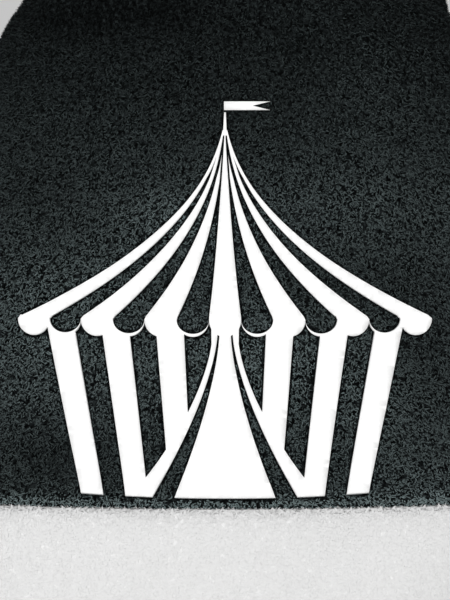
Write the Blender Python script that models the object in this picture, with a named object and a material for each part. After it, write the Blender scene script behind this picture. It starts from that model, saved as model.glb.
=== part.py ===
# A plush Christmas hat: a dark bent cone sewn from two panels, a folded white cuff and a pompom.
# Metres, +Z up, front panel towards -Y. The origin is the centre of the head opening, on the floor.
import math

import bpy
import numpy as np

# Head opening and cloth
OPENING_HALF_WIDTH = 0.114
OPENING_HALF_DEPTH = 0.060
CLOTH = 0.004
SEAM_GAP = 0.0003

# Cuff, a band of long pile folded double
CUFF_HEIGHT = 0.080
CUFF_PILE = 0.0125
CUFF_FOOT = 0.0085
CUFF_ROUND = 0.016

# Crown, measured along its outer side from the cuff seam to the tip
CROWN_LENGTH = 0.425
TIP_RADIUS = 0.0095
LEAN = 0.13
LEAN_END = 0.07
BEND_SHARE = 0.95
BEND_START = 0.101
BEND_FULL = 0.206
BEND_EASE = 0.318
BEND_END = 0.385
BACK_SWING = 0.020
BACK_SWING_START = 0.16
TIP_ROUNDNESS = 1.0

# Pompom and the gathered neck that it is sewn to
POMPOM_RADIUS = 0.032
NECK_RADIUS = 0.0080
NECK_LENGTH = 0.0060
NECK_TAPER = 0.8

# Mesh detail
SPINE_STEPS = 600
CROWN_RINGS = 38
HALF_STEPS = 20
CUFF_STEPS = 26
CUFF_ROUND_STEPS = 5
POMPOM_SEGMENTS = 28
POMPOM_RINGS = 16
NECK_SEGMENTS = 20
SHARP_ANGLE = math.radians(50)

CHARCOAL = (0.012, 0.014, 0.015)
WHITE = (0.80, 0.80, 0.80)
CREAM = (0.62, 0.62, 0.61)
DARK_ROUGHNESS = 0.95
PALE_ROUGHNESS = 0.9


def clear_scene():
    for obj in list(bpy.data.objects):
        bpy.data.objects.remove(obj)


def plush(name, colour, roughness):
    material = bpy.data.materials.new(name)
    material.use_nodes = True
    shader = material.node_tree.nodes["Principled BSDF"]
    shader.inputs["Base Color"].default_value = (*colour, 1.0)
    shader.inputs["Roughness"].default_value = roughness
    shader.inputs["Metallic"].default_value = 0.0
    return material


def ease(value, low, high):
    """0 below low, 1 above high, with a smooth step between them."""
    t = min(max((value - low) / (high - low), 0.0), 1.0)
    return t * t * (3 - 2 * t)


def bend_share(slant):
    """How tightly the crown bends here, as a share of the bend that would crease its inner side."""
    return BEND_SHARE * ease(slant, BEND_START, BEND_FULL) * (1 - ease(slant, BEND_EASE, BEND_END))


def crown_spine():
    """The crown's centre line: one row of slant length, half width, half depth, angle, x, y and z a step.

    The outer side keeps the cut length of the cloth, so the centre line shortens where the cone bends.
    """
    base_width = OPENING_HALF_WIDTH + CLOTH
    base_depth = OPENING_HALF_DEPTH + CLOTH
    step = CROWN_LENGTH / SPINE_STEPS
    angle, x, z = 0.0, 0.0, CUFF_HEIGHT + SEAM_GAP
    rows = []
    for i in range(SPINE_STEPS + 1):
        slant = i * step
        left = 1 - slant / CROWN_LENGTH
        width = max(base_width * left, TIP_RADIUS)
        slimness = base_depth / base_width
        depth = max(width * (slimness + (TIP_ROUNDNESS - slimness) * (1 - left) ** 2), TIP_RADIUS)
        y = BACK_SWING * ease(slant, BACK_SWING_START, CROWN_LENGTH)
        rows.append((slant, width, depth, angle, x, y, z))
        share = bend_share(slant + step / 2)
        travel = step / (1 + share)
        turn = share * travel / width
        turn += LEAN * (ease(slant + step, 0, LEAN_END) - ease(slant, 0, LEAN_END))
        x += math.sin(angle + turn / 2) * travel
        z += math.cos(angle + turn / 2) * travel
        angle += turn
    return np.array(rows)


def ring_point(row, around, inset, side):
    """A point of the crown at one row of the spine.

    around runs from 0 at the +X seam to pi at the -X seam, and side is -1 for the front panel.
    """
    _, width, depth, angle, x, y, z = row
    across = (width - inset) * math.cos(around)
    out = (depth - inset) * math.sin(around) + SEAM_GAP / 2
    return (
        x + across * math.cos(angle),
        y + side * out,
        z - across * math.sin(angle),
    )


def solid_from_sheets(name, outer, inner, material):
    """One closed solid between two grids of points that have the same rows and columns."""
    rows, columns = len(outer), len(outer[0])
    points = [p for row in outer for p in row] + [p for row in inner for p in row]
    shift = rows * columns

    def at(row, column, sheet=0):
        return sheet * shift + row * columns + column

    faces = []
    for i in range(rows - 1):
        for j in range(columns - 1):
            faces.append((at(i, j), at(i, j + 1), at(i + 1, j + 1), at(i + 1, j)))
            faces.append((at(i, j, 1), at(i + 1, j, 1), at(i + 1, j + 1, 1), at(i, j + 1, 1)))
        last = columns - 1
        faces.append((at(i, 0), at(i + 1, 0), at(i + 1, 0, 1), at(i, 0, 1)))
        faces.append((at(i, last), at(i, last, 1), at(i + 1, last, 1), at(i + 1, last)))
    for j in range(columns - 1):
        last = rows - 1
        faces.append((at(0, j), at(0, j, 1), at(0, j + 1, 1), at(0, j + 1)))
        faces.append((at(last, j), at(last, j + 1), at(last, j + 1, 1), at(last, j, 1)))
    return mesh_object(name, points, faces, material)


def mesh_object(name, points, faces, material):
    mesh = bpy.data.meshes.new(name)
    mesh.from_pydata(points, [], faces)
    mesh.validate()
    mesh.update()
    obj = bpy.data.objects.new(name, mesh)
    bpy.context.scene.collection.objects.link(obj)
    face_outwards(mesh)
    mesh.shade_smooth()
    mesh.set_sharp_from_angle(angle=SHARP_ANGLE)
    mesh.materials.append(material)
    return obj


def face_outwards(mesh):
    """Turns every face round if the mesh's signed volume says that they point inwards."""
    mesh.calc_loop_triangles()
    volume = 0.0
    for triangle in mesh.loop_triangles:
        a, b, c = (mesh.vertices[i].co for i in triangle.vertices)
        volume += a.dot(b.cross(c))
    if volume < 0:
        mesh.flip_normals()


def crown_panel(name, side, spine, material):
    picked = spine[np.linspace(0, SPINE_STEPS, CROWN_RINGS).round().astype(int)]
    turns = [math.pi * j / HALF_STEPS for j in range(HALF_STEPS + 1)]
    outer = [[ring_point(row, turn, 0.0, side) for turn in turns] for row in picked]
    inner = [[ring_point(row, turn, CLOTH, side) for turn in turns] for row in picked]
    return solid_from_sheets(name, outer, inner, material)


def oval_point(around, offset, height, side):
    """A point on the head opening's oval, pushed out by offset and kept clear of the side seams."""
    return (
        (OPENING_HALF_WIDTH + offset) * math.cos(around),
        side * ((OPENING_HALF_DEPTH + offset) * math.sin(around) + SEAM_GAP / 2),
        height,
    )


def cuff_profile():
    """(offset, height) up the outer face of the band: flat foot, round shoulder, straight side, round top."""
    wall = CLOTH + SEAM_GAP
    bulge = CUFF_PILE - CUFF_FOOT
    turns = [math.pi / 2 * k / CUFF_ROUND_STEPS for k in range(CUFF_ROUND_STEPS + 1)]
    lower = [
        (wall + CUFF_FOOT + bulge * math.sin(t), CUFF_ROUND * (1 - math.cos(t)))
        for t in turns
    ]
    upper = [
        (wall + CUFF_FOOT + bulge * math.cos(t), CUFF_HEIGHT - CUFF_ROUND * (1 - math.sin(t)))
        for t in turns
    ]
    return lower + upper


def cuff_half(name, side, material):
    profile = cuff_profile()
    wall = CLOTH + SEAM_GAP
    turns = [math.pi * j / CUFF_STEPS for j in range(CUFF_STEPS + 1)]
    outer = [[oval_point(turn, offset, height, side) for turn in turns] for offset, height in profile]
    inner = [[oval_point(turn, wall, height, side) for turn in turns] for _, height in profile]
    return solid_from_sheets(name, outer, inner, material)


def cuff_lining(name, material):
    """The band's turned-in layer: a plain oval tube inside the outer one."""
    steps = 2 * CUFF_STEPS
    section = ((CLOTH, 0.0), (CLOTH, CUFF_HEIGHT), (0.0, CUFF_HEIGHT), (0.0, 0.0))
    points = []
    for offset, height in section:
        for j in range(steps):
            turn = 2 * math.pi * j / steps
            points.append(
                (
                    (OPENING_HALF_WIDTH + offset) * math.cos(turn),
                    (OPENING_HALF_DEPTH + offset) * math.sin(turn),
                    height,
                )
            )
    faces = []
    for loop in range(len(section)):
        following = (loop + 1) % len(section)
        for j in range(steps):
            after = (j + 1) % steps
            faces.append(
                (
                    loop * steps + j,
                    loop * steps + after,
                    following * steps + after,
                    following * steps + j,
                )
            )
    return mesh_object(name, points, faces, material)


def turned_solid(name, profile, segments, origin, direction, material):
    """A solid of revolution: profile is (distance along the axis, radius), from pole to pole."""
    along = np.array(direction) / np.linalg.norm(direction)
    across = np.cross(along, (0.0, 1.0, 0.0))
    across /= np.linalg.norm(across)
    other = np.cross(along, across)
    first = np.array(origin) + along * profile[0][0]
    last = np.array(origin) + along * profile[-1][0]
    points = [tuple(first)]
    for distance, radius in profile[1:-1]:
        for j in range(segments):
            turn = 2 * math.pi * j / segments
            ring = np.array(origin) + along * distance
            ring = ring + radius * (math.cos(turn) * across + math.sin(turn) * other)
            points.append(tuple(ring))
    points.append(tuple(last))
    rings = len(profile) - 2
    end = len(points) - 1
    faces = []
    for j in range(segments):
        after = (j + 1) % segments
        faces.append((0, 1 + after, 1 + j))
        for i in range(rings - 1):
            low, high = 1 + i * segments, 1 + (i + 1) * segments
            faces.append((low + j, low + after, high + after, high + j))
        top = 1 + (rings - 1) * segments
        faces.append((top + j, top + after, end))
    return mesh_object(name, points, faces, material)


def tip_and_neck(spine, dark, white):
    """The gathered neck on the crown's open tip, and the pompom that hangs from it."""
    _, _, _, angle, x, y, z = spine[-1]
    direction = (math.sin(angle), 0.0, math.cos(angle))
    tip = np.array((x, y, z))
    neck = [
        (SEAM_GAP, 0.0),
        (SEAM_GAP, NECK_RADIUS),
        (NECK_LENGTH, NECK_RADIUS * NECK_TAPER),
        (NECK_LENGTH, 0.0),
    ]
    turned_solid("tip_gather", neck, NECK_SEGMENTS, tip, direction, dark)
    ball = [
        (
            NECK_LENGTH + SEAM_GAP + POMPOM_RADIUS * (1 - math.cos(math.pi * k / POMPOM_RINGS)),
            POMPOM_RADIUS * math.sin(math.pi * k / POMPOM_RINGS),
        )
        for k in range(POMPOM_RINGS + 1)
    ]
    turned_solid("pompom", ball, POMPOM_SEGMENTS, tip, direction, white)


def main():
    clear_scene()
    dark = plush("charcoal_plush", CHARCOAL, DARK_ROUGHNESS)
    white = plush("white_plush", WHITE, PALE_ROUGHNESS)
    backing = plush("cuff_backing", CREAM, PALE_ROUGHNESS)
    spine = crown_spine()
    crown_panel("crown_front", -1, spine, dark)
    crown_panel("crown_back", 1, spine, dark)
    cuff_half("cuff_front", -1, white)
    cuff_half("cuff_back", 1, white)
    cuff_lining("cuff_lining", backing)
    tip_and_neck(spine, dark, white)


main()
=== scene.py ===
# %% [markdown]
# A plush Christmas hat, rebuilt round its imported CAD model. The CAD holds the true size and the plain
# solids: two crown panels, a cuff, its lining, a gathered tip and a pompom. This script gives each soft
# piece its cloth, its pile and its print, in the same frame and in metres.

# %% Load the frame
import math

import bpy
import numpy as np
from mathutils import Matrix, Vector
from mathutils.bvhtree import BVHTree
from mathutils.geometry import delaunay_2d_cdt


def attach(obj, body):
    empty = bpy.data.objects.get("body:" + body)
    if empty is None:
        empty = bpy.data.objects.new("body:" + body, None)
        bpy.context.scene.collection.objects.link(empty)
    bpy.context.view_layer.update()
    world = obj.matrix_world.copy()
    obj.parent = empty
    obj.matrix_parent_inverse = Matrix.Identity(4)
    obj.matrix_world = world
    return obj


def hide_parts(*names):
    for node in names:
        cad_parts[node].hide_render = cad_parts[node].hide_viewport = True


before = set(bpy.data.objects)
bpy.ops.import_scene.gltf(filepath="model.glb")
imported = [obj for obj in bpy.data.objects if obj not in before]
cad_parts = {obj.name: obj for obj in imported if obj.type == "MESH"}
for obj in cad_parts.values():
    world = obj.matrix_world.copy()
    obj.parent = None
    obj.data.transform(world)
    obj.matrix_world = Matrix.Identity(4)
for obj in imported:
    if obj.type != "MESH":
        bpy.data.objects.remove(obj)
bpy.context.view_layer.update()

print("CAD nodes:", sorted(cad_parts))

# %% [markdown]
# The camera comes first. The photo is a close view of the hat's front: it takes in 135 by 180 mm of it.
# A long lens from a metre away keeps the print flat, as the photo does, and the camera looks down a
# little, because the seam over the cuff bows down in the middle.

# %% Camera
FRAME_HEIGHT = 0.180
LENS = 200
SENSOR = 36
LOOK_DOWN = math.radians(2.5)
AIM = Vector((0.0, -0.058, 0.14135))


def make_camera():
    data = bpy.data.cameras.new("camera")
    data.lens = LENS
    data.sensor_width = SENSOR
    camera = bpy.data.objects.new("camera", data)
    bpy.context.scene.collection.objects.link(camera)
    distance = FRAME_HEIGHT * LENS / SENSOR
    back = Vector((0, -math.cos(LOOK_DOWN), math.sin(LOOK_DOWN)))
    camera.location = AIM + back * distance
    camera.rotation_euler = (-back).to_track_quat("-Z", "Y").to_euler()
    bpy.context.scene.camera = camera
    print("camera", round(distance, 3), "m from the cloth")


make_camera()

# %% [markdown]
# Lamps and floor: a plain pale floor and big soft lamps, as in a studio. In the photo the crown grows
# darker as it leans back, and the cuff's top rounds off into shade, so the main lamp stands low and
# nearly behind the camera. The view transform is the plain one, which keeps white as white.

# %% Studio
FLOOR_SIDE = 80.0
FLOOR_NEAR, FLOOR_FAR = (0.72, 0.72, 0.71), (0.97, 0.97, 0.97)
FLOOR_FADE = (0.4, 3.6)
WORLD_GREY = 0.55
LAMPS = [
    # name, watts, width and height in metres, place
    ("key", 75, (2.4, 1.6), (-1.36, -3.58, 1.00)),
    ("fill", 28, (3.6, 2.6), (2.80, -2.94, 1.60)),
    ("back", 9, (1.6, 1.6), (0.3, 1.3, 1.5)),
    ("side", 8, (1.2, 1.0), (1.9, 0.7, 1.3)),
]


def make_studio():
    scene = bpy.context.scene
    scene.view_settings.view_transform = "Standard"
    world = bpy.data.worlds.new("studio")
    world.use_nodes = True
    world.node_tree.nodes["Background"].inputs["Color"].default_value = (*3 * [WORLD_GREY], 1)
    scene.world = world
    for name, watts, size, place in LAMPS:
        data = bpy.data.lights.new(name, "AREA")
        data.shape = "RECTANGLE"
        data.energy = watts
        data.size, data.size_y = size
        lamp = bpy.data.objects.new(name, data)
        lamp.location = place
        lamp.rotation_euler = (AIM - lamp.location).to_track_quat("-Z", "Y").to_euler()
        scene.collection.objects.link(lamp)
    half = FLOOR_SIDE / 2
    mesh = bpy.data.meshes.new("floor")
    corners = [(-half, -half, 0), (half, -half, 0), (half, half, 0), (-half, half, 0)]
    mesh.from_pydata(corners, [], [(0, 1, 2, 3)])
    floor = bpy.data.objects.new("floor", mesh)
    scene.collection.objects.link(floor)
    mesh.materials.append(pale_floor())


def pale_floor():
    """A pale floor that grows as light as the sky far away, so that no line shows where they meet."""
    material = bpy.data.materials.new("pale_floor")
    material.use_nodes = True
    tree = material.node_tree
    shader = tree.nodes["Principled BSDF"]
    place = tree.nodes.new("ShaderNodeTexCoord")
    far = tree.nodes.new("ShaderNodeVectorMath")
    far.operation = "LENGTH"
    share = tree.nodes.new("ShaderNodeMapRange")
    share.inputs["From Min"].default_value, share.inputs["From Max"].default_value = FLOOR_FADE
    ramp = tree.nodes.new("ShaderNodeValToRGB")
    for point, colour in zip(ramp.color_ramp.elements, (FLOOR_NEAR, FLOOR_FAR)):
        point.color = (*colour, 1)
    tree.links.new(place.outputs["Object"], far.inputs[0])
    tree.links.new(far.outputs["Value"], share.inputs["Value"])
    tree.links.new(share.outputs["Result"], ramp.inputs["Fac"])
    tree.links.new(ramp.outputs["Color"], shader.inputs["Base Color"])
    shader.inputs["Roughness"].default_value = 0.95
    shader.inputs["Specular IOR Level"].default_value = 0.0
    return material


make_studio()

# %% [markdown]
# Finishes. Plush is a knitted backing with a pile that stands in small clumps. Its colour paints light and
# shade on them: painted light on the tips of the clumps and painted shade, nearly black, in the gaps between
# them. Noise at the size of the clumps, about a millimetre, drives both this painted light and shade and the
# bump. A softer, larger noise shades whole patches where the nap lies another way.

# %% Materials
PAINTED_GAP_SHADE = (0.0010, 0.0013, 0.0014)
MID_NAP = (0.0060, 0.0076, 0.0078)
PAINTED_TIP_LIGHT = (0.020, 0.025, 0.026)
WHITE_PILE = (0.83, 0.83, 0.83)
PAINTED_WHITE_GAP_SHADE = (0.80, 0.80, 0.802)
NAP_DARKEST, NAP_LIGHTEST = 0.003, 0.55
NAP_TINT = (0.79, 1.0, 1.01)
FUR_DARKEST, FUR_LIGHTEST, FUR_SHADE = 0.64, 0.88, 0.808


def ease(value, low, high):
    """0 below low, 1 above high, with a smooth step between them."""
    t = np.clip((value - low) / (high - low), 0.0, 1.0)
    return t * t * (3 - 2 * t)


def new_material(name, roughness, sheen=0.0, sheen_roughness=0.5, sheen_tint=(1, 1, 1), shine=0.04):
    material = bpy.data.materials.new(name)
    material.use_nodes = True
    shader = material.node_tree.nodes["Principled BSDF"]
    shader.inputs["Roughness"].default_value = roughness
    shader.inputs["Specular IOR Level"].default_value = shine
    shader.inputs["Sheen Weight"].default_value = sheen
    shader.inputs["Sheen Roughness"].default_value = sheen_roughness
    shader.inputs["Sheen Tint"].default_value = (*sheen_tint, 1)
    return material, material.node_tree, shader


def add_noise(tree, size, detail=2.0, stretch=(1, 1, 1)):
    """A noise of one blob each size metres, in the piece's own place in the frame."""
    place = tree.nodes.new("ShaderNodeTexCoord")
    mapping = tree.nodes.new("ShaderNodeMapping")
    mapping.inputs["Scale"].default_value = stretch
    noise = tree.nodes.new("ShaderNodeTexNoise")
    noise.inputs["Scale"].default_value = 1 / size
    noise.inputs["Detail"].default_value = detail
    tree.links.new(place.outputs["Object"], mapping.inputs["Vector"])
    tree.links.new(mapping.outputs["Vector"], noise.inputs["Vector"])
    return noise.outputs["Fac"]


def add_ramp(tree, value, stops):
    ramp = tree.nodes.new("ShaderNodeValToRGB")
    points = ramp.color_ramp.elements
    while len(points) < len(stops):
        points.new(0.5)
    for point, (place, colour) in zip(points, stops):
        point.position = place
        point.color = (*colour, 1)
    tree.links.new(value, ramp.inputs["Fac"])
    return ramp.outputs["Color"]


def add_bump(tree, shader, height, depth, strength=1.0, after=None):
    bump = tree.nodes.new("ShaderNodeBump")
    bump.inputs["Distance"].default_value = depth
    bump.inputs["Strength"].default_value = strength
    tree.links.new(height, bump.inputs["Height"])
    if after is not None:
        tree.links.new(after, bump.inputs["Normal"])
    tree.links.new(bump.outputs["Normal"], shader.inputs["Normal"])
    return bump.outputs["Normal"]


def multiply(tree, first, second, amount=1.0):
    mix = tree.nodes.new("ShaderNodeMix")
    mix.data_type = "RGBA"
    mix.blend_type = "MULTIPLY"
    mix.inputs["Factor"].default_value = amount
    tree.links.new(first, mix.inputs["A"])
    tree.links.new(second, mix.inputs["B"])
    return mix.outputs["Result"]


# Painted light and shade on the front panel's nap: the painted shade of the fold across the top and soft
# painted lights and shades where the crown bulges and creases. Each patch: place across and up, half size
# across and up, and how much lighter it is there, in the log of its shade
PAINTED_LIGHT_PATCHES = [
    ((-0.050, 0.094), (0.022, 0.010), -0.85),
    ((0.062, 0.130), (0.012, 0.020), -0.55),
    ((-0.052, 0.130), (0.024, 0.020), 0.45),
    ((0.046, 0.208), (0.018, 0.018), 0.38),
    ((-0.036, 0.228), (0.030, 0.007), -1.45),
    ((-0.060, 0.172), (0.020, 0.014), -0.35),
    ((0.040, 0.172), (0.040, 0.010), 0.35),
    ((-0.012, 0.165), (0.020, 0.010), 0.78),
    ((0.010, 0.122), (0.034, 0.014), 0.60),
    ((0.040, 0.145), (0.020, 0.009), -0.50),
    ((0.060, 0.088), (0.018, 0.007), 0.30),
    ((-0.040, 0.146), (0.018, 0.008), 0.25),
    ((0.048, 0.108), (0.012, 0.010), 0.25),
]
# A painted light rim along the seam: how much lighter, its height and its reach.
PAINTED_RIM_LIGHT, PAINTED_RIM_Z, PAINTED_RIM_REACH = 1.05, 0.0801, 0.0030


def painted_nap_light(x, z):
    """Painted light and shade of the nap at a place: painted shade where the crown leans back at the top, the
    painted patches and a painted light rim along the seam; 1 is the middle.
    """
    # Painted shade: darker towards the top, where the crown leans back from the light.
    painted_light = np.log(0.42 + 1.25 * ease(0.222 - z, 0.0, 0.085))
    for (across, up), (wide, tall), change in PAINTED_LIGHT_PATCHES:
        painted_light = painted_light + change * np.exp(-(((x - across) / wide) ** 2) - ((z - up) / tall) ** 2)
    # A painted light rim along the seam, lifting the shade that the cuff casts on the crown's foot.
    painted_light = painted_light + PAINTED_RIM_LIGHT * np.exp(-(((z - PAINTED_RIM_Z) / PAINTED_RIM_REACH) ** 2))
    return np.exp(painted_light)


def dark_plush():
    material, tree, shader = new_material("dark_plush", 0.95)
    clumps = add_noise(tree, 0.0011, 2.5)
    # Painted light on the clump tips and painted shade in the gaps between them.
    colour = add_ramp(tree, clumps, [(0.38, PAINTED_GAP_SHADE), (0.52, MID_NAP), (0.68, PAINTED_TIP_LIGHT)])
    patches = add_ramp(tree, add_noise(tree, 0.030, 1.0), [(0.3, (0.62, 0.62, 0.62)), (0.7, (1, 1, 1))])
    tree.links.new(multiply(tree, colour, patches), shader.inputs["Base Color"])
    add_bump(tree, shader, clumps, 0.0009)
    return material


def white_plush():
    material, tree, shader = new_material("white_plush", 0.95)
    clumps = add_noise(tree, 0.0045, 3.0)
    # Painted shade in the gaps between the clumps, a little darker than the pile.
    colour = add_ramp(tree, clumps, [(0.30, PAINTED_WHITE_GAP_SHADE), (0.62, WHITE_PILE)])
    tree.links.new(colour, shader.inputs["Base Color"])
    soft = add_bump(tree, shader, clumps, 0.0012, 0.6)
    add_bump(tree, shader, add_noise(tree, 0.0007, 1.0), 0.0002, 0.6, soft)
    return material


def print_film():
    material, tree, shader = new_material("white_print", 0.55)
    nap = add_noise(tree, 0.0012, 2.0)
    colour = add_ramp(tree, nap, [(0.3, (0.93, 0.93, 0.93)), (0.6, (0.97, 0.97, 0.97))])
    tree.links.new(colour, shader.inputs["Base Color"])
    add_bump(tree, shader, nap, 0.0001, 0.4)
    return material


def knit_backing(name, low, high):
    material, tree, shader = new_material(name, 0.9)
    weave = tree.nodes.new("ShaderNodeTexWave")
    place = tree.nodes.new("ShaderNodeTexCoord")
    weave.inputs["Scale"].default_value = 160
    weave.inputs["Distortion"].default_value = 2.0
    tree.links.new(place.outputs["Object"], weave.inputs["Vector"])
    tree.links.new(add_ramp(tree, weave.outputs["Fac"], [(0.2, low), (0.8, high)]), shader.inputs["Base Color"])
    add_bump(tree, shader, weave.outputs["Fac"], 0.0004)
    return material


def strand_pile(name, shades, root_painted_shade):
    """A coat of strands. Its map gives each strand its shade across and runs from root to tip upwards."""
    material, tree, shader = new_material(name, 0.95)
    place = tree.nodes.new("ShaderNodeUVMap")
    place.uv_map = STRAND_MAP
    parts = tree.nodes.new("ShaderNodeSeparateXYZ")
    tree.links.new(place.outputs["UV"], parts.inputs["Vector"])
    shade = add_ramp(tree, parts.outputs["X"], shades)
    # Roots are painted darker than tips: painted shade deep in the pile.
    depth = add_ramp(tree, parts.outputs["Y"], [(0.0, 3 * [root_painted_shade]), (0.6, 3 * [1.0])])
    tree.links.new(multiply(tree, shade, depth), shader.inputs["Base Color"])
    return material


def shade_stops(darkest, lightest, tint, steps=6):
    """Ramp stops whose brightness grows by equal ratios, so that a strand's place is the log of its shade."""
    places = [k / (steps - 1) for k in range(steps)]
    return [(p, [darkest * (lightest / darkest) ** p * t for t in tint]) for p in places]


DARK_PLUSH = dark_plush()
WHITE_PLUSH = white_plush()
PRINT = print_film()
DARK_BACKING = knit_backing("dark_backing", (0.006, 0.007, 0.007), (0.020, 0.022, 0.022))
PALE_BACKING = knit_backing("pale_backing", (0.50, 0.50, 0.49), (0.66, 0.66, 0.65))
STRAND_MAP = "OFBake"
# The last number is how dark the roots are painted, as shade deep in the pile.
DARK_PILE = strand_pile("dark_pile", shade_stops(NAP_DARKEST, NAP_LIGHTEST, NAP_TINT), 0.30)
WHITE_FUR = strand_pile("white_fur", shade_stops(FUR_DARKEST, FUR_LIGHTEST, (1, 1, 1)), 0.93)

# %% [markdown]
# The crown's shape. It is a cone sewn from two half panels, and its tip flops over to one side. The
# outer side of the flop keeps the full cut length of the cloth, and the inner side bunches up, so the
# centre line is found by steps: each step along the outer side turns the cone by a share of the turn
# that would close the inner side. These are the CAD model's own values and formulas.

# %% Crown centre line
OPENING_HALF_WIDTH, OPENING_HALF_DEPTH = 0.114, 0.060
CLOTH = 0.004
SEAM_GAP = 0.0003
CUFF_HEIGHT = 0.080
CROWN_LENGTH = 0.425
TIP_RADIUS = 0.0095
LEAN, LEAN_END = 0.13, 0.07
BEND_SHARE, BEND_START, BEND_FULL, BEND_EASE, BEND_END = 0.95, 0.101, 0.206, 0.318, 0.385
BACK_SWING, BACK_SWING_START = 0.020, 0.16
SPINE_STEPS = 600


def crown_spine():
    base_width = OPENING_HALF_WIDTH + CLOTH
    base_depth = OPENING_HALF_DEPTH + CLOTH
    slimness = base_depth / base_width
    step = CROWN_LENGTH / SPINE_STEPS
    angle, x, z = 0.0, 0.0, CUFF_HEIGHT + SEAM_GAP
    rows = []
    for i in range(SPINE_STEPS + 1):
        slant = i * step
        left = 1 - slant / CROWN_LENGTH
        width = max(base_width * left, TIP_RADIUS)
        depth = max(width * (slimness + (1 - slimness) * (1 - left) ** 2), TIP_RADIUS)
        y = BACK_SWING * ease(slant, BACK_SWING_START, CROWN_LENGTH)
        rows.append((slant, width, depth, angle, x, y, z))
        middle = slant + step / 2
        share = BEND_SHARE * ease(middle, BEND_START, BEND_FULL) * (1 - ease(middle, BEND_EASE, BEND_END))
        travel = step / (1 + share)
        turn = share * travel / width
        turn += LEAN * (ease(slant + step, 0, LEAN_END) - ease(slant, 0, LEAN_END))
        x += math.sin(angle + turn / 2) * travel
        z += math.cos(angle + turn / 2) * travel
        angle += turn
    return np.array(rows).T


SPINE = crown_spine()
print("crown tip at", SPINE[4:, -1].round(4), "leaning", round(math.degrees(SPINE[3, -1])), "degrees")

# %% [markdown]
# Cloth is never the plain cone. On the smooth shape come soft lumps, a valley across the top where the
# tip folds over, folds that fan out from the pinched inner side of the flop, gathers at the tip and a
# groove along each side seam. Each is a height in or out of the cloth, worked out for whole grids of
# points at once, which is far quicker than sculpting and gives the same hat on each run.

# %% Crown surface
SEAM_GROOVE, SEAM_WIDTH, SEAM_LAP = 0.0010, 0.0040, 0.0001
SHOULDER, SHOULDER_Z, SHOULDER_TALL = 0.0034, 0.222, 0.017
FAN_HEIGHT, FAN_COUNT = 0.0024, 5
GATHERS, GATHER_DEPTH = 11, 0.0011
FOOT_BULGE, FOOT_BULGE_OVER = 0.0030, 0.006
FOOT_TUCK, FOOT_TUCK_OVER = 0.0016, 0.0012


def waves(points, size, seed, count=7):
    """Smooth lumps between -1 and 1, made of plane waves in chance directions."""
    draw = np.random.default_rng(seed)
    total = np.zeros(points.shape[:-1])
    for _ in range(count):
        way = draw.normal(size=3)
        way /= np.linalg.norm(way)
        length = size * draw.uniform(0.7, 1.5)
        total += np.sin(points @ way * (2 * math.pi / length) + draw.uniform(0, 2 * math.pi))
    return total / math.sqrt(count) / 1.4


def smooth_cone(slant, around, side):
    _, width, depth, angle, x, y, z = [np.interp(slant, SPINE[0], column) for column in SPINE]
    across = width * np.cos(around)
    out = depth * np.sin(around) - SEAM_LAP
    return np.stack(
        [x + across * np.cos(angle), y + side * out, z - across * np.sin(angle)], axis=-1
    )


def normals_of(surface, slant, around, side):
    """Unit normals of a surface, from its slope over small steps."""
    step_slant, step_turn = 0.0006, 0.006
    along = surface(slant + step_slant, around, side) - surface(slant - step_slant, around, side)
    round_ = surface(slant, around + step_turn, side) - surface(slant, around - step_turn, side)
    normal = np.cross(round_, along) * side
    length = np.linalg.norm(normal, axis=-1, keepdims=True)
    return normal / np.maximum(length, 1e-12)


def fold_height(slant, around, side, points):
    x, z = points[..., 0], points[..., 2]
    left = 1 - slant / CROWN_LENGTH
    height = 0.0016 * waves(points, 0.075, 3) * ease(slant, 0.0, 0.05)
    height += 0.0006 * waves(points, 0.028, 5)
    height += FOOT_BULGE * np.exp(-((slant / FOOT_BULGE_OVER) ** 2))
    valley_z = 0.2215 + 0.10 * (x + 0.045)
    valley = np.exp(-(((z - valley_z) / 0.0065) ** 2)) * ease(-x, -0.02, 0.03)
    crest = np.exp(-(((z - valley_z - 0.014) / 0.009) ** 2)) * ease(-x, -0.03, 0.02)
    height += (0.0024 * crest - 0.0030 * valley) * (1 - ease(-x, 0.050, 0.064)) * (side < 0)
    outer_side = np.exp(-(((math.pi - around) / 0.9) ** 2))
    height += SHOULDER * outer_side * np.exp(-(((z - SHOULDER_Z) / SHOULDER_TALL) ** 2))
    inner = np.exp(-((around / 1.15) ** 2))
    band = ease(slant, 0.105, 0.17) * (1 - ease(slant, 0.30, 0.37))
    phase = FAN_COUNT * 2 * math.pi * (slant - 0.105) / 0.25 + 2.0 + 0.5 * side
    height += FAN_HEIGHT * inner * band * np.sin(phase) * np.minimum(left * 2, 1)
    gather = ease(slant, CROWN_LENGTH - 0.055, CROWN_LENGTH - 0.004)
    height += GATHER_DEPTH * gather * np.cos(GATHERS * around)
    width = np.interp(slant, SPINE[0], SPINE[1])
    to_seam = width * np.minimum(around, math.pi - around) * 0.75
    height -= SEAM_GROOVE * np.exp(-((to_seam / SEAM_WIDTH) ** 2)) * ease(width, 0.008, 0.03)
    return height


def crown_surface(slant, around, side):
    points = smooth_cone(slant, around, side)
    height = fold_height(slant, around, side, points)
    points = points + normals_of(smooth_cone, slant, around, side) * height[..., None]
    points[..., 2] -= FOOT_TUCK * np.exp(-slant / FOOT_TUCK_OVER)
    return points


# %% [markdown]
# Each panel is a thin closed shell: a plush face, a knitted back and the cut edges between them. The
# helper joins two grids of points along their rims. One helper serves the panels and the cuff.

# %% Shell and object helpers


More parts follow.
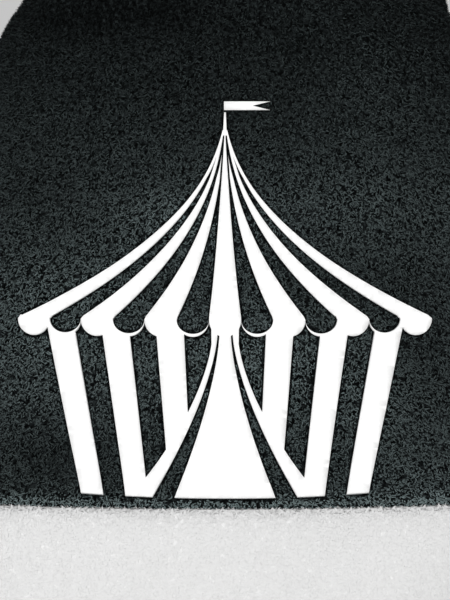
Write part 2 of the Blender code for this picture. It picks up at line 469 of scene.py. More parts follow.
def make_object(name, points, faces, materials, slots=None, smooth=True):
    mesh = bpy.data.meshes.new(name)
    mesh.from_pydata([tuple(p) for p in np.asarray(points).reshape(-1, 3)], [], faces)
    for material in materials:
        mesh.materials.append(material)
    if slots is not None:
        mesh.polygons.foreach_set("material_index", np.asarray(slots, dtype=np.int32))
    mesh.polygons.foreach_set("use_smooth", np.full(len(mesh.polygons), smooth))
    mesh.update()
    obj = bpy.data.objects.new(name, mesh)
    bpy.context.scene.collection.objects.link(obj)
    return obj


def grid_faces(rows, columns, start=0, flip=False, ring=False):
    faces = []
    last = columns if ring else columns - 1
    for i in range(rows - 1):
        for j in range(last):
            after = (j + 1) % columns
            a, b = start + i * columns + j, start + i * columns + after
            c, d = b + columns, a + columns
            faces.append((a, d, c, b) if flip else (a, b, c, d))
    return faces


def shell(name, outer, inner, materials, flip):
    """A closed shell between two grids: slot 0 outside, slot 1 inside and on the cut edges."""
    rows, columns = outer.shape[:2]
    shift = rows * columns
    faces = grid_faces(rows, columns, 0, flip)
    outside = len(faces)
    faces += grid_faces(rows, columns, shift, not flip)
    rim = [j for j in range(columns)]
    rim += [i * columns + columns - 1 for i in range(1, rows)]
    rim += [(rows - 1) * columns + j for j in range(columns - 2, -1, -1)]
    rim += [i * columns for i in range(rows - 2, 0, -1)]
    for k, a in enumerate(rim):
        b = rim[(k + 1) % len(rim)]
        faces.append((a, b, b + shift, a + shift) if flip else (b, a, a + shift, b + shift))
    slots = [0] * outside + [1] * (len(faces) - outside)
    points = np.concatenate([outer.reshape(-1, 3), inner.reshape(-1, 3)])
    return make_object(name, points, faces, materials, slots)


# %% Crown panels
PANEL_ROWS, PANEL_COLUMNS = 180, 96
FOOT_ROWS, FOOT_BAND = 12, 0.006


def crown_panel(name, side):
    foot = np.linspace(0, FOOT_BAND, FOOT_ROWS, endpoint=False)
    slants = np.concatenate([foot, np.linspace(FOOT_BAND, CROWN_LENGTH, PANEL_ROWS)])
    slant, around = np.meshgrid(slants, np.linspace(0, math.pi, PANEL_COLUMNS), indexing="ij")
    outer = crown_surface(slant, around, side)
    inner = outer - normals_of(smooth_cone, slant, around, side) * (CLOTH * 0.8)
    inner[..., 1] = np.where(side * inner[..., 1] < side * outer[..., 1], inner[..., 1], outer[..., 1])
    panel = shell(name, outer, inner, [DARK_PLUSH, DARK_BACKING], flip=side > 0)
    return panel


crown_panels = {-1: crown_panel("crown_front_cloth", -1), 1: crown_panel("crown_back_cloth", 1)}
for side, node in ((-1, "crown_front"), (1, "crown_back")):
    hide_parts(node)
    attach(crown_panels[side], "root")
    print(node, len(crown_panels[side].data.polygons), "faces")

# %% [markdown]
# The print. It is a plain striped big top under a pennant, laid out with straight lines and a few
# curves in the plane of the photo, in millimetres: across is x, and up is z. Two steps make it. First
# one rule says whether a point is white. Then the edges between white and bare cloth are drawn as
# lines, a triangulation is made to follow them, and each triangle is kept or dropped by that rule.
# Its edges stay crisp at any distance, which a picture's would not.

# %% Big top layout
EAVE_HALF, EAVE_Z, APEX_Z, APEX_HALF = 62.6, 135.2, 192.4, 0.65
ROOF_SLOPE, ROOF_FLARE, ROOF_CURVE = 13.5, 49.4, 2.2
GORES = 13
# Half width where the narrow gores start and where they are full, and how far the middle one swells
GORE_START, GORE_FULL, MIDDLE_SWELL = 3.2, 6.5, 0.6
TAPERED_GORES = (4, 10)
VALANCE_DROP, PIPING = 5.0, 0.9
WALL_TOP_HALF, WALL_FOOT_HALF, WALL_FOOT_Z, WALL_BOW = 54.1, 43.0, 83.4, 1.1
POLE_TOP, POLE_HALF_FOOT, POLE_HALF_TOP = 197.6, 0.50, 0.27
PENNANT = (-0.3, 13.6, 198.3, 200.9)
PENNANT_NOTCH = 5.3
GORE_EDGES = np.linspace(-1, 1, GORES + 1)
CLOSED_HALF = 1.1
DOOR_TOP_Z = 131.0
# Half width at the door's top and foot, and how far the line draws in between them
DOOR_PANEL = (1.7, 15.05, 1.5)
DOOR_GAP = (2.3, 21.8, 1.5)
CURTAIN = (3.8, 28.1, 1.64)


def roof_share(z):
    return np.clip((APEX_Z - z) / (APEX_Z - EAVE_Z), 0, 1)


def roof_half(z):
    """Half the roof's width: next to nothing at the apex, and a hollow curve out to the eave."""
    share = roof_share(z)
    return np.minimum(APEX_HALF + ROOF_SLOPE * share + ROOF_FLARE * share**ROOF_CURVE, EAVE_HALF)


def gore_edge(share, z):
    """Where a gore's edge runs on the roof. Two pairs of gores taper to points short of the apex."""
    half = roof_half(z)
    full = np.clip((half - GORE_START) / (GORE_FULL - GORE_START), 0, 1)
    edge = round(abs(share) * GORES)
    tapered = edge
    for middle in TAPERED_GORES:
        if abs(edge - middle) == 1:
            tapered = middle + (edge - middle) * full
    across = half * tapered / GORES
    if edge == 1:
        across = across + MIDDLE_SWELL * np.sin(math.pi * roof_share(z))
    return math.copysign(1, share) * across


def wall_half(z):
    return WALL_FOOT_HALF + (WALL_TOP_HALF - WALL_FOOT_HALF) * (z - WALL_FOOT_Z) / (EAVE_Z - WALL_FOOT_Z)


def door_edge(line, z):
    """Half width of one of the door's lines at a height."""
    top, foot, bow = line
    share = np.clip((DOOR_TOP_Z - z) / (DOOR_TOP_Z - WALL_FOOT_Z + WALL_BOW), 0, 1)
    return top + (foot - top) * share**bow


def foot_z(x):
    """The walls stand on a line that bows down a little in the middle, as a round tent's foot does."""
    return WALL_FOOT_Z - WALL_BOW * (1 - (x / WALL_FOOT_HALF) ** 2)


def scallop_z(x, middle, reach, drop):
    """The lower edge of a half round scallop that hangs from the eave."""
    return EAVE_Z - drop * np.sqrt(np.clip(1 - ((x - middle) / reach) ** 2, 0, 1))


def is_white(x, z):
    half = roof_half(z)
    gore = sum((x >= gore_edge(share, z)).astype(int) for share in GORE_EDGES) - 1
    striped = (gore % 2 == 0) | (half < CLOSED_HALF)
    roof = (z >= EAVE_Z) & (z <= APEX_Z) & (np.abs(x) <= half) & striped
    edges = GORE_EDGES * EAVE_HALF
    slot = np.clip(np.searchsorted(edges, x) - 1, 0, GORES - 1)
    middle, reach = (edges[slot] + edges[slot + 1]) / 2, (edges[slot + 1] - edges[slot]) / 2
    low = scallop_z(x, middle, reach, VALANCE_DROP)
    piped = scallop_z(x, middle, reach, VALANCE_DROP - PIPING)
    in_valance = (z < EAVE_Z) & (z >= low) & (np.abs(x) <= EAVE_HALF)
    valance = in_valance & ((slot % 2 == 0) | (z < piped))
    below = (z < EAVE_Z) & ~in_valance
    wall = wall_half(z)
    stripe = np.searchsorted(GORE_EDGES, x / wall) - 1
    walls = below & (np.abs(x) <= wall) & (z >= foot_z(x)) & (stripe % 2 == 0)
    far = np.abs(x)
    in_door = below & (z <= DOOR_TOP_Z) & (z >= foot_z(x)) & (far <= door_edge(CURTAIN, z))
    panel = far <= door_edge(DOOR_PANEL, z)
    curtain = far >= door_edge(DOOR_GAP, z)
    door = in_door & (panel | curtain)
    pole_share = np.clip((z - APEX_Z + 0.5) / (POLE_TOP - APEX_Z), 0, 1)
    pole_half = POLE_HALF_FOOT + (POLE_HALF_TOP - POLE_HALF_FOOT) * pole_share
    pole = (z >= APEX_Z - 0.5) & (z <= POLE_TOP) & (far <= pole_half)
    low_x, high_x, low_z, high_z = PENNANT
    notch = high_x - PENNANT_NOTCH * (1 - np.abs(z - (low_z + high_z) / 2) / ((high_z - low_z) / 2))
    pennant = (x >= low_x) & (x <= notch) & (z >= low_z) & (z <= high_z)
    return roof | valance | np.where(in_door, door, walls) | pole | pennant


# %% Big top edges
EDGE_STEP = 1.0


def curve(function, start, end, step=EDGE_STEP):
    """Points of function(t) for t from start to end, about a step apart."""
    count = max(2, int(math.ceil(abs(end - start) / step)) + 1)
    return [function(t) for t in np.linspace(start, end, count)]


def print_edges():
    lines = []
    heights = np.linspace(EAVE_Z, APEX_Z, 2000)
    closed_z = np.interp(-CLOSED_HALF, -roof_half(heights), heights)
    for share in GORE_EDGES:
        top = APEX_Z if abs(share) == 1 else closed_z
        lines.append(curve(lambda z: (gore_edge(share, z), z), EAVE_Z, top))
    lines.append([(-CLOSED_HALF, closed_z), (CLOSED_HALF, closed_z)])
    edges = GORE_EDGES * EAVE_HALF
    for k, (low, high) in enumerate(zip(edges, edges[1:])):
        middle, reach = (low + high) / 2, (high - low) / 2
        for drop in (VALANCE_DROP, VALANCE_DROP - PIPING) if k % 2 else (VALANCE_DROP,):
            lines.append(
                curve(
                    lambda t: (middle + reach * math.cos(t), EAVE_Z - drop * math.sin(t)),
                    math.pi, 0, EDGE_STEP / 2 / max(reach, drop),
                )
            )
    lines.append(curve(lambda x: (x, EAVE_Z), -EAVE_HALF, EAVE_HALF))
    for share in GORE_EDGES:
        lines.append(curve(lambda z: (share * wall_half(z), z), WALL_FOOT_Z - 1.6, EAVE_Z))
    lines.append(curve(lambda x: (x, foot_z(x)), -WALL_FOOT_HALF, WALL_FOOT_HALF))
    for line in (DOOR_PANEL, DOOR_GAP, CURTAIN):
        for hand in (-1, 1):
            lines.append(curve(lambda z: (hand * door_edge(line, z), z), WALL_FOOT_Z - 1.6, DOOR_TOP_Z))
    lines.append(curve(lambda x: (x, DOOR_TOP_Z), -CURTAIN[0], CURTAIN[0]))
    foot = APEX_Z - 0.5
    for hand in (-1, 1):
        lines.append([(hand * POLE_HALF_FOOT, foot), (hand * POLE_HALF_TOP, POLE_TOP)])
    lines.append([(-POLE_HALF_TOP, POLE_TOP), (POLE_HALF_TOP, POLE_TOP)])
    low_x, high_x, low_z, high_z = PENNANT
    notch = (high_x - PENNANT_NOTCH, (low_z + high_z) / 2)
    ring = [(low_x, low_z), (high_x, low_z), notch, (high_x, high_z), (low_x, high_z), (low_x, low_z)]
    lines.append(ring)
    return lines


def print_triangles():
    """The white triangles of the print, as flat points in millimetres and faces."""
    points, edges = [], []
    for line in print_edges():
        start = len(points)
        points += line
        edges += [(start + i, start + i + 1) for i in range(len(line) - 1)]
    grid = 2.5
    for z in np.arange(WALL_FOOT_Z - 2, APEX_Z, grid):
        for x in np.arange(-EAVE_HALF, EAVE_HALF, grid):
            points.append((x + grid / 3, z))
    flat, _, faces, _, _, _ = delaunay_2d_cdt([Vector(p) for p in points], edges, [], 0, 1e-4)
    flat = np.array([(p.x, p.y) for p in flat])
    faces = np.array([f for f in faces if len(f) == 3])
    middle = flat[faces].mean(axis=1)
    faces = faces[is_white(middle[:, 0], middle[:, 1])]
    corners = flat[faces]
    a, b = corners[:, 1] - corners[:, 0], corners[:, 2] - corners[:, 0]
    area = a[:, 0] * b[:, 1] - a[:, 1] * b[:, 0]
    faces[area < 0] = faces[area < 0][:, ::-1]
    faces = faces[np.abs(area) > 1e-4]
    used, index = np.unique(faces, return_inverse=True)
    return flat[used], index.reshape(-1, 3)


# %% [markdown]
# The print is a film pressed into the pile, so it lies a little above the knitted ground and follows
# every fold of the front panel. Each of its points is dropped on to the panel from the front.

# %% Print film
FILM_LIFT, FILM_EDGE = 0.00090, 0.0008


def drop_on(tree, x, z):
    """Where a straight line from the front meets the cloth, and which way the cloth faces there."""
    place, normal, _, _ = tree.ray_cast(Vector((x, -1.0, z)), Vector((0, 1, 0)))
    if place is None:
        raise ValueError(f"the print leaves the cloth at {x:.4f}, {z:.4f}")
    return np.array(place), np.array(normal)


def print_piece():
    panel = crown_panels[-1].data
    tree = BVHTree.FromPolygons([v.co for v in panel.vertices], [p.vertices for p in panel.polygons])
    flat, faces = print_triangles()
    top, bottom = [], []
    for x, z in flat / 1000:
        place, normal = drop_on(tree, x, z)
        normal = normal if normal[1] < 0 else -normal
        top.append(place + normal * FILM_LIFT)
        bottom.append(place + normal * (FILM_LIFT - FILM_EDGE))
    count = len(flat)
    ends = np.concatenate([faces[:, [0, 1]], faces[:, [1, 2]], faces[:, [2, 0]]])
    key = np.sort(ends, axis=1)
    _, index, times = np.unique(key, axis=0, return_inverse=True, return_counts=True)
    rim = ends[times[index.reshape(-1)] == 1]
    walls = [(b, a, a + count, b + count) for a, b in rim.tolist()]
    underside = (faces[:, ::-1] + count).tolist()
    all_faces = [tuple(f) for f in faces.tolist()] + [tuple(f) for f in underside] + walls
    film = make_object("big_top_print", np.array(top + bottom), all_faces, [PRINT], smooth=False)
    top_faces = len(faces)
    smooth = np.zeros(len(all_faces), dtype=bool)
    smooth[:top_faces] = True
    film.data.polygons.foreach_set("use_smooth", smooth)
    print("print:", top_faces, "white triangles")
    return film


film = print_piece()
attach(film, "root")

# %% [markdown]
# The pile. Real plush is a thick fur of short strands that lean together in clumps. Blender could grow
# it as hair, but hair doesn't go out with the exported model. So each clump is a thin pointed tuft of
# three faces, planted on the cloth by a seeded draw: many on the part that the photo looks at closely,
# fewer and broader ones elsewhere. Tufts that would stand in the print are left out, since the film
# holds them down.

# %% Tuft mesh helper
MAP_WIDTH = 0.0015


def tuft_object(name, roots, normals, leans, heights, widths, material, shades, seed):
    """Three-sided tufts: roots on the cloth, each tip at root + lean + normal * height."""
    draw = np.random.default_rng(seed)
    count = len(roots)
    helper = np.where(np.abs(normals[:, 2:3]) < 0.9, [[0.0, 0.0, 1.0]], [[1.0, 0.0, 0.0]])
    first = np.cross(normals, helper)
    first /= np.linalg.norm(first, axis=1, keepdims=True)
    second = np.cross(normals, first)
    spin = draw.uniform(0, 2 * math.pi, count)
    points = np.empty((count, 4, 3))
    for k in range(3):
        turn = spin + k * 2 * math.pi / 3
        arm = np.cos(turn)[:, None] * first + np.sin(turn)[:, None] * second
        points[:, k] = roots + arm * (widths / 2)[:, None] - normals * 0.00015
    points[:, 3] = roots + leans + normals * heights[:, None]
    start = np.arange(count)[:, None, None] * 4
    faces = start + np.array([[0, 1, 3], [1, 2, 3], [2, 0, 3]])
    places = strand_places(shades, ((-1, 0), (0, 0), (1, 0), (0, 1)))
    return triangle_object(name, points.reshape(-1, 3), faces.reshape(-1, 3), material, places)


def strand_places(shades, corners):
    """Each strand's corners on the map: its shade across, with a little width, and root to tip upwards."""
    corners = np.array(corners, dtype=float)
    across = 0.02 + 0.96 * np.clip(shades, 0, 1)[:, None] + MAP_WIDTH * corners[None, :, 0]
    up = 0.05 + 0.25 * corners[None, :, 1] * np.ones_like(across)
    return np.stack([across, up], axis=-1).reshape(-1, 2)


def triangle_object(name, points, faces, material, places, normals=None):
    """A mesh of triangles. Where normals are given, each face is turned to agree with its own."""
    if normals is not None:
        corners = points[faces]
        way = np.cross(corners[:, 1] - corners[:, 0], corners[:, 2] - corners[:, 0])
        away = (way * normals[faces[:, 0]]).sum(axis=1) < 0
        faces = np.where(away[:, None], faces[:, ::-1], faces)
    mesh = bpy.data.meshes.new(name)
    mesh.vertices.add(len(points))
    mesh.vertices.foreach_set("co", points.astype(np.float32).ravel())
    mesh.loops.add(faces.size)
    mesh.loops.foreach_set("vertex_index", faces.astype(np.int32).ravel())
    mesh.polygons.add(len(faces))
    mesh.polygons.foreach_set("loop_start", np.arange(0, faces.size, 3, dtype=np.int32))
    mesh.polygons.foreach_set("use_smooth", np.ones(len(faces), dtype=bool))
    mesh.materials.append(material)
    strand_map = mesh.uv_layers.new(name=STRAND_MAP)
    strand_map.uv.foreach_set("vector", places[faces.ravel()].astype(np.float32).ravel())
    mesh.update()
    mesh.validate()
    if normals is not None:
        mesh.normals_split_custom_set_from_vertices(normals)
    obj = bpy.data.objects.new(name, mesh)
    bpy.context.scene.collection.objects.link(obj)
    print(name, len(faces), "triangles")
    return obj


# %% Crown pile
NEAR_X, NEAR_Z = 0.071, 0.237
NEAR_PER_M2, FAR_PER_M2 = 3.0e6, 0.85e6
FULL_SHADE, SHADE_SPREAD, TOP_SPREAD, TOP_LIFT = 0.150, 0.70, 0.95, 0.38
FOOT_AREA = 0.0005


def plant(side, per_m2, seed):
    """Chance places on a crown panel, even over its area: slant, turn and the smooth point."""
    draw = np.random.default_rng(seed)
    tries = 400_000

    def pick(count):
        return draw.uniform(0, CROWN_LENGTH, count), draw.uniform(0, math.pi, count)

    def patch(slant, around):
        along = smooth_cone(slant + 5e-4, around, side) - smooth_cone(slant - 5e-4, around, side)
        round_ = smooth_cone(slant, around + 5e-3, side) - smooth_cone(slant, around - 5e-3, side)
        return np.linalg.norm(np.cross(along, round_), axis=-1) / (1e-3 * 1e-2)

    slant, around = pick(tries)
    size = patch(slant, around)
    area = size.mean() * CROWN_LENGTH * math.pi
    wanted = int(area * per_m2)
    most = np.quantile(size, 0.9995)
    kept = draw.uniform(0, most, tries) < size
    slant, around = slant[kept], around[kept]
    while len(slant) < wanted:
        more_slant, more_around = pick(tries)
        kept = draw.uniform(0, most, tries) < patch(more_slant, more_around)
        slant = np.concatenate([slant, more_slant[kept]])
        around = np.concatenate([around, more_around[kept]])
    return slant[:wanted], around[:wanted]


def crown_pile(name, side, per_m2, wanted, length, height, width, seed):
    slant, around = plant(side, per_m2, seed)
    # The tucked foot is longer than the plain cone's, so it gets tufts of its own.
    draw = np.random.default_rng(seed + 3)
    foot = int(FOOT_AREA * per_m2)
    slant = np.concatenate([slant, draw.uniform(0, FOOT_TUCK_OVER, foot)])
    around = np.concatenate([around, draw.uniform(0, math.pi, foot)])
    rough = smooth_cone(slant, around, side)
    kept = wanted(rough)
    slant, around = slant[kept], around[kept]
    roots = crown_surface(slant, around, side)
    normals = normals_of(crown_surface, slant, around, side)
    draw = np.random.default_rng(seed + 1)
    count = len(slant)
    lean = draw.normal(size=(count, 3)) + np.array((0.1, 0, -0.55))
    lean -= (lean * normals).sum(axis=1, keepdims=True) * normals
    lean /= np.linalg.norm(lean, axis=1, keepdims=True)
    lean *= (length * draw.uniform(0.5, 1.3, count))[:, None]
    heights = height * draw.uniform(0.55, 1.35, count)
    widths = width * draw.uniform(0.7, 1.3, count)
    if side < 0:
        bare = np.ones(count, dtype=bool)
        for share in (0, 0.5, 1.0):
            spot = (roots + lean * share) * 1000
            for shift in ((0, 0), (0.4, 0), (-0.4, 0), (0, 0.4), (0, -0.4)):
                inside = is_white(spot[:, 0] + shift[0], spot[:, 2] + shift[1])
                bare &= ~(inside & (spot[:, 2] < 205))
        roots, normals, lean = roots[bare], normals[bare], lean[bare]
        heights, widths = heights[bare], widths[bare]
    # On the front the tufts take the painted light and shade; the back gets one even level.
    painted_light = painted_nap_light(roots[:, 0], roots[:, 2]) if side < 0 else 0.75
    high = ease(roots[:, 2], 0.185, 0.225)
    spread = SHADE_SPREAD + TOP_SPREAD * high
    shade = FULL_SHADE * painted_light * (1 + TOP_LIFT * high) * np.exp(-spread * np.abs(draw.normal(size=len(roots))))
    shade = np.log(shade / NAP_DARKEST) / math.log(NAP_LIGHTEST / NAP_DARKEST)
    pile = tuft_object(name, roots, normals, lean, heights, widths, DARK_PILE, shade, seed + 2)
    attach(pile, "root")
    return pile


def is_near(points):
    return (np.abs(points[:, 0]) < NEAR_X) & (points[:, 2] < NEAR_Z)


crown_pile("crown_pile_photo_side", -1, NEAR_PER_M2, is_near, 0.0011, 0.0009, 0.00055, 11)
crown_pile("crown_pile_front", -1, FAR_PER_M2, lambda p: ~is_near(p), 0.0018, 0.0013, 0.0010, 21)
crown_pile("crown_pile_back", 1, FAR_PER_M2, lambda p: p[:, 2] > 0, 0.0018, 0.0013, 0.0010, 31)

# %% [markdown]
# The cuff is a band of longer, looser white pile, folded double, that stands out over the crown's lower
# edge. Its body is one soft ring round the oval of the head opening, with lumps, a rounded top and foot,
# and a dip at each side seam. Its fur is made of bent ribbons of three faces, brushed outwards and down.

# %% Cuff body
CUFF_INNER, CUFF_OUTER = 0.0046, 0.0142
CUFF_SQUARE_OUT, CUFF_SQUARE_UP = 0.70, 0.33
CUFF_COLUMNS, CUFF_ROWS, CUFF_INSIDE_ROWS = 340, 56, 14


def oval(turn, offset):
    return (
        (OPENING_HALF_WIDTH + offset) * np.cos(turn),
        (OPENING_HALF_DEPTH + offset) * np.sin(turn),
    )


def cuff_surface(turn, section, side=1):
    """A point of the ring: turn runs round the head, section runs round the band's thickness."""
    middle, reach = (CUFF_INNER + CUFF_OUTER) / 2, (CUFF_OUTER - CUFF_INNER) / 2
    c, s = np.cos(section), np.sin(section)
    offset = middle + reach * np.sign(c) * np.abs(c) ** CUFF_SQUARE_OUT
    height = CUFF_HEIGHT / 2 * (1 + np.sign(s) * np.abs(s) ** CUFF_SQUARE_UP * 0.985)
    x, y = oval(turn, offset)
    points = np.stack([x, y, height], axis=-1)
    outward = ease(offset, middle, CUFF_OUTER)
    lumps = 0.0006 * waves(points, 0.030, 41) + 0.0001 * waves(points, 0.009, 42)
    seam = 0.0030 * np.exp(-((y / 0.0045) ** 2))
    push = (lumps - seam) * outward
    more_x, more_y = oval(turn, offset + push)
    top = ease(height, 0.066, 0.080) * 0.0004 * waves(points, 0.014, 43) * outward
    return np.stack([more_x, more_y, height + top], axis=-1)


def section_at(level):
    """Where on the band's outer face a height lies: level runs from -1 at the foot to 1 at the top."""
    return np.sign(level) * np.arcsin(np.clip(np.abs(level), 0, 1) ** (1 / CUFF_SQUARE_UP))


def cuff_body():
    outside = section_at(np.linspace(-1, 1, CUFF_ROWS))
    over_top = np.linspace(math.pi / 2, math.pi * 3 / 2, CUFF_INSIDE_ROWS + 2)[1:-1]
    sections = np.concatenate([outside, over_top])
    rows = len(sections)
    turn = np.linspace(0, 2 * math.pi, CUFF_COLUMNS, endpoint=False)
    points = cuff_surface(*np.meshgrid(turn, sections))
    faces = grid_faces(rows, CUFF_COLUMNS, ring=True)
    last = (rows - 1) * CUFF_COLUMNS
    for j in range(CUFF_COLUMNS):
        after = (j + 1) % CUFF_COLUMNS
        faces.append((last + j, last + after, after, j))
    return make_object("cuff_plush", points, faces, [WHITE_PLUSH])


cuff = cuff_body()
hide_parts("cuff_front", "cuff_back")
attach(cuff, "root")

# %% Fur helper


def ribbon_object(name, roots, normals, leans, heights, widths, twists, material, shades, seed):
    """Bent ribbons of three faces: they rise along the normal and then follow their lean."""
    draw = np.random.default_rng(seed)
    count = len(roots)
    sideways = np.cross(normals, leans)
    sideways /= np.maximum(np.linalg.norm(sideways, axis=1, keepdims=True), 1e-9)
    sideways = sideways + draw.normal(size=(count, 3)) * np.reshape(twists, (-1, 1))
    sideways /= np.linalg.norm(sideways, axis=1, keepdims=True)
    half = sideways * (widths / 2)[:, None]
    rise = normals * heights[:, None]
    points = np.empty((count, 5, 3))
    sunk = roots - normals * 0.0004
    points[:, 0], points[:, 1] = sunk - half, sunk + half
    middle = roots + leans * 0.38 + rise * 0.68
    points[:, 2], points[:, 3] = middle + half * 0.8, middle - half * 0.8
    points[:, 4] = roots + leans + rise
    start = np.arange(count)[:, None, None] * 5
    faces = start + np.array([[0, 1, 2], [0, 2, 3], [3, 2, 4]])
    # The ribbons take the body's own normals, so they are lit as one soft coat and not one by one.
    shared = np.repeat(normals, 5, axis=0)
    places = strand_places(shades, ((-1, 0), (1, 0), (1, 0.6), (-1, 0.6), (0, 1)))
    return triangle_object(name, points.reshape(-1, 3), faces.reshape(-1, 3), material, places, shared)


# %% Cuff fur
FRONT_FUR, REST_FUR = 62_000, 34_000
FRONT_HALF = 0.078
# Painted shade on the cuff fur next to the seam, where the crown's foot shades it: how much darker, and over
# what height.
SEAM_PAINTED_SHADE, SEAM_PAINTED_SHADE_OVER = 0.13, 0.0045
FUR_TWIST = 0.10
OVER_TOP, UNDER_FOOT, ROUND_THE_EDGE = 0.16, 0.10, 8.0


def even_turns(draw, count, is_here):
    """Chance turns round the oval, evenly thick along its edge, wherever is_here says so."""
    samples = np.linspace(0, 2 * math.pi, 2001)
    x, y = oval(samples, CUFF_OUTER)
    steps = np.hypot(np.diff(x), np.diff(y)) * is_here(x[1:], y[1:])
    walked = np.concatenate([[0], np.cumsum(steps)])
    return np.interp(draw.uniform(0, walked[-1], count), walked, samples)


def fur_shades(painted_light, draw):
    """Places on the fur's ramp for strands of a given lightness, with a little chance in each."""
    shade = FUR_SHADE * painted_light * draw.uniform(0.985, 1.015, len(painted_light))
    return np.log(shade / FUR_DARKEST) / math.log(FUR_LIGHTEST / FUR_DARKEST)


def cuff_fur(name, count, is_here, length, height, width, seed):
    draw = np.random.default_rng(seed)
    turn = even_turns(draw, count, is_here)
    level = draw.uniform(-1 - UNDER_FOOT, 1 + OVER_TOP, count)
    past = np.maximum(np.abs(level) - 1, 0)
    section = section_at(level) + np.sign(level) * past * ROUND_THE_EDGE
    step = 1e-3
    roots = cuff_surface(turn, section)
    round_ = cuff_surface(turn + step, section) - cuff_surface(turn - step, section)
    up = cuff_surface(turn, section + step * 8) - cuff_surface(turn, section - step * 8)
    normals = np.cross(round_, up)
    normals /= np.maximum(np.linalg.norm(normals, axis=1, keepdims=True), 1e-12)
    lean = draw.normal(size=(count, 3)) * np.array((1, 1, 0.8)) + np.array((0.15, 0, -0.5))
    lean -= (lean * normals).sum(axis=1, keepdims=True) * normals
    lean /= np.linalg.norm(lean, axis=1, keepdims=True)
    lean *= (length * draw.uniform(0.5, 1.3, count))[:, None]
    heights = height * draw.uniform(0.5, 1.5, count)
    kept = roots[:, 2] + lean[:, 2] + normals[:, 2] * heights > 0.0004
    # Strands near the top edge get painted shade from the crown above them.
    shades = fur_shades(1 - SEAM_PAINTED_SHADE * np.exp((roots[kept, 2] - CUFF_HEIGHT) / SEAM_PAINTED_SHADE_OVER), draw)
    widths = width * draw.uniform(0.7, 1.4, kept.sum())
    fur = ribbon_object(
        name, roots[kept], normals[kept], lean[kept], heights[kept], widths, FUR_TWIST,
        WHITE_FUR, shades, seed + 1,
    )
    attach(fur, "root")
    return fur


def faces_photo(x, y):
    return (np.abs(x) < FRONT_HALF) & (y < 0)


cuff_fur("cuff_fur_photo_side", FRONT_FUR, faces_photo, 0.0018, 0.00016, 0.00080, 51)
cuff_fur("cuff_fur_rest", REST_FUR, lambda x, y: ~faces_photo(x, y), 0.0030, 0.00022, 0.0016, 54)

# %% [markdown]
# Inside the cuff, its other layer is turned in against the head, knitted side out. It shows only from
# below.

# %% Cuff lining
LINING_COLUMNS, LINING_ROWS = 240, 14


def cuff_lining():
    turn = np.linspace(0, 2 * math.pi, LINING_COLUMNS, endpoint=False)[None, :] * np.ones((LINING_ROWS, 1))
    section = np.linspace(0, 2 * math.pi, LINING_ROWS, endpoint=False)[:, None]
    c, s = np.cos(section), np.sin(section)
    offset = 0.0021 + 0.0018 * np.sign(c) * np.abs(c) ** 0.4
    height = CUFF_HEIGHT / 2 * (1 + 0.97 * np.sign(s) * np.abs(s) ** 0.2)
    offset, height = offset * np.ones_like(turn), height * np.ones_like(turn)
    x, y = oval(turn, offset)
    points = np.stack([x, y, height], axis=-1)
    x, y = oval(turn, offset + 0.0004 * waves(points, 0.03, 61))
    points = np.stack([x, y, height], axis=-1)
    faces = grid_faces(LINING_ROWS, LINING_COLUMNS, ring=True)
    last = (LINING_ROWS - 1) * LINING_COLUMNS
    for j in range(LINING_COLUMNS):
        after = (j + 1) % LINING_COLUMNS
        faces.append((last + j, last + after, after, j))
    return make_object("cuff_lining_cloth", points, faces, [PALE_BACKING])


lining = cuff_lining()
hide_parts("cuff_lining")
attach(lining, "root")

# %% [markdown]
# The tip is drawn together in pleats and bound with thread, and the pompom is sewn to it. The pompom is
# a ball of the cuff's white pile: a lumpy core under a thick coat of ribbons that point every way out.

# %% Gathered tip
NECK_LENGTH, NECK_SUNK, NECK_REACH = 0.0060, 0.0010, 0.0026
POMPOM_RADIUS = 0.032
tip_place = SPINE[4:, -1]
tip_way = np.array((math.sin(SPINE[3, -1]), 0.0, math.cos(SPINE[3, -1])))
tip_across = np.array((math.cos(SPINE[3, -1]), 0.0, -math.sin(SPINE[3, -1])))
tip_other = np.cross(tip_way, tip_across)


def about_tip(distance, radius, turn):
    ring = np.cos(turn)[..., None] * tip_across + np.sin(turn)[..., None] * tip_other
    return tip_place + distance[..., None] * tip_way + radius[..., None] * ring


def gathered_tip():
    rows, columns = 16, 110
    share = np.linspace(0, 1, rows)[:, None] * np.ones((1, columns))
    turn = np.ones((rows, 1)) * np.linspace(0, 2 * math.pi, columns, endpoint=False)[None, :]
    waist = np.exp(-(((share - 0.55) / 0.22) ** 2))
    radius = 0.0086 * (1 - 0.25 * waist - 0.10 * share) * (1 + 0.075 * np.cos(GATHERS * turn))
    closing = ease(share, 0.92, 1.0)
    radius = radius * (1 - 0.6 * closing)
    distance = -NECK_SUNK + share * (NECK_LENGTH + NECK_SUNK + NECK_REACH)
    points = about_tip(distance, radius, turn)
    faces = grid_faces(rows, columns, ring=True)
    faces.append(tuple(range(columns - 1, -1, -1)))
    faces.append(tuple(range((rows - 1) * columns, rows * columns)))
    return make_object("tip_gather_cloth", points, faces, [DARK_PLUSH])


def binding_thread():
    rows, columns, loops = 10, 96, 3
    points, faces = [], []
    for loop in range(loops):
        across = np.linspace(0, 2 * math.pi, rows, endpoint=False)[:, None] * np.ones((1, columns))
        turn = np.ones((rows, 1)) * np.linspace(0, 2 * math.pi, columns, endpoint=False)[None, :]
        centre = 0.0029 + 0.0009 * (loop - 1)
        distance = centre + 0.0005 * np.sin(across) + 0.0002 * np.sin(turn + loop)
        radius = 0.0070 + 0.0005 * np.cos(across)
        start = loop * rows * columns
        points.append(about_tip(distance, radius, turn).reshape(-1, 3))
        faces += grid_faces(rows, columns, start, ring=True)
        last = start + (rows - 1) * columns
        faces += [
            (last + j, last + (j + 1) % columns, start + (j + 1) % columns, start + j)
            for j in range(columns)
        ]
    return make_object("tip_binding_thread", np.concatenate(points), faces, [DARK_BACKING])


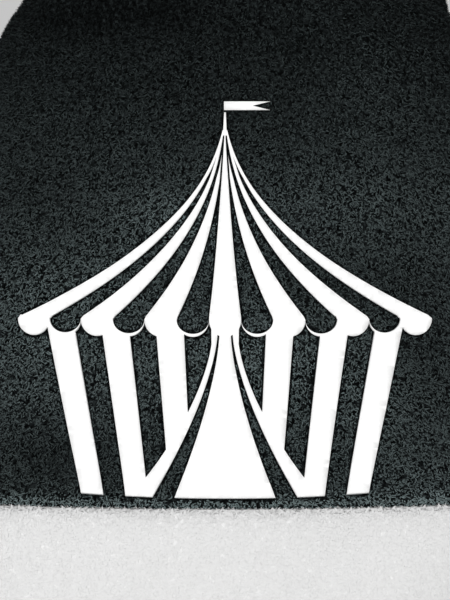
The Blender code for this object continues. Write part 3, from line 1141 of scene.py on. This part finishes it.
tip_cloth, thread = gathered_tip(), binding_thread()
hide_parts("tip_gather")
for piece in (tip_cloth, thread):
    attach(piece, "root")

# %% Pompom
POMPOM_CORE, POMPOM_LUMPS, POMPOM_CLUMPS = 0.0275, 0.0007, 0.0009
POMPOM_STRANDS, LONG_SHARE = 28_000, 0.25
# The pompom's fur is painted lighter than the cuff's, as painted light that lifts the shade among its strands.
POMPOM_PAINTED_LIGHT = 1.05
pompom_centre = tip_place + tip_way * (NECK_LENGTH + SEAM_GAP + POMPOM_RADIUS)


def even_directions(count):
    """Directions spread evenly over a ball, along a spiral from pole to pole."""
    k = np.arange(count) + 0.5
    height = 1 - 2 * k / count
    turn = math.pi * (1 + math.sqrt(5)) * k
    ring = np.sqrt(1 - height**2)
    return np.stack([ring * np.cos(turn), ring * np.sin(turn), height], axis=1)


def pompom_surface(way):
    """A point of the lumpy core in each direction."""
    radius = POMPOM_CORE + POMPOM_LUMPS * waves(way, 0.5, 71) + POMPOM_CLUMPS * waves(way, 0.22, 75, 12)
    return pompom_centre + way * radius[..., None]


def pompom_normals(way):
    """Which way the core faces, from its slope over small turns."""
    helper = np.where(np.abs(way[:, 2:]) < 0.9, [[0.0, 0.0, 1.0]], [[1.0, 0.0, 0.0]])
    first = np.cross(way, helper)
    first *= 0.01 / np.linalg.norm(first, axis=1, keepdims=True)
    second = np.cross(way, first)

    def surface(shift):
        turned = way + shift
        return pompom_surface(turned / np.linalg.norm(turned, axis=1, keepdims=True))

    normals = np.cross(surface(first) - surface(-first), surface(second) - surface(-second))
    return normals / np.linalg.norm(normals, axis=1, keepdims=True)


def pompom_core():
    rows, columns = 64, 128
    polar = np.linspace(0.02, math.pi - 0.02, rows)[:, None] * np.ones((1, columns))
    turn = np.ones((rows, 1)) * np.linspace(0, 2 * math.pi, columns, endpoint=False)[None, :]
    way = np.stack([np.sin(polar) * np.cos(turn), np.sin(polar) * np.sin(turn), -np.cos(polar)], axis=-1)
    points = pompom_surface(way)
    faces = grid_faces(rows, columns, ring=True)
    faces.append(tuple(range(columns - 1, -1, -1)))
    faces.append(tuple(range((rows - 1) * columns, rows * columns)))
    return make_object("pompom_core", points, faces, [WHITE_PLUSH])


def pompom_fur():
    draw = np.random.default_rng(72)
    way = even_directions(POMPOM_STRANDS) + draw.normal(size=(POMPOM_STRANDS, 3)) * 0.02
    way /= np.linalg.norm(way, axis=1, keepdims=True)
    normals = pompom_normals(way)
    long = draw.uniform(size=POMPOM_STRANDS) < LONG_SHARE
    reach = np.where(long, 0.0036, 0.0007) * draw.uniform(0.6, 1.3, POMPOM_STRANDS)
    lean = draw.normal(size=(POMPOM_STRANDS, 3)) * np.where(long, 0.0015, 0.0022)[:, None]
    lean -= (lean * normals).sum(axis=1, keepdims=True) * normals
    roots = pompom_surface(way)
    shades = fur_shades(np.full(POMPOM_STRANDS, POMPOM_PAINTED_LIGHT), draw)
    widths = np.where(long, 0.00035, 0.0012) * draw.uniform(0.7, 1.3, POMPOM_STRANDS)
    twists = np.where(long, 0.35, 0.12)
    return ribbon_object("pompom_fur", roots, normals, lean, reach, widths, twists, WHITE_FUR, shades, 74)


core, coat = pompom_core(), pompom_fur()
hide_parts("pompom")
for piece in (core, coat):
    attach(piece, "root")
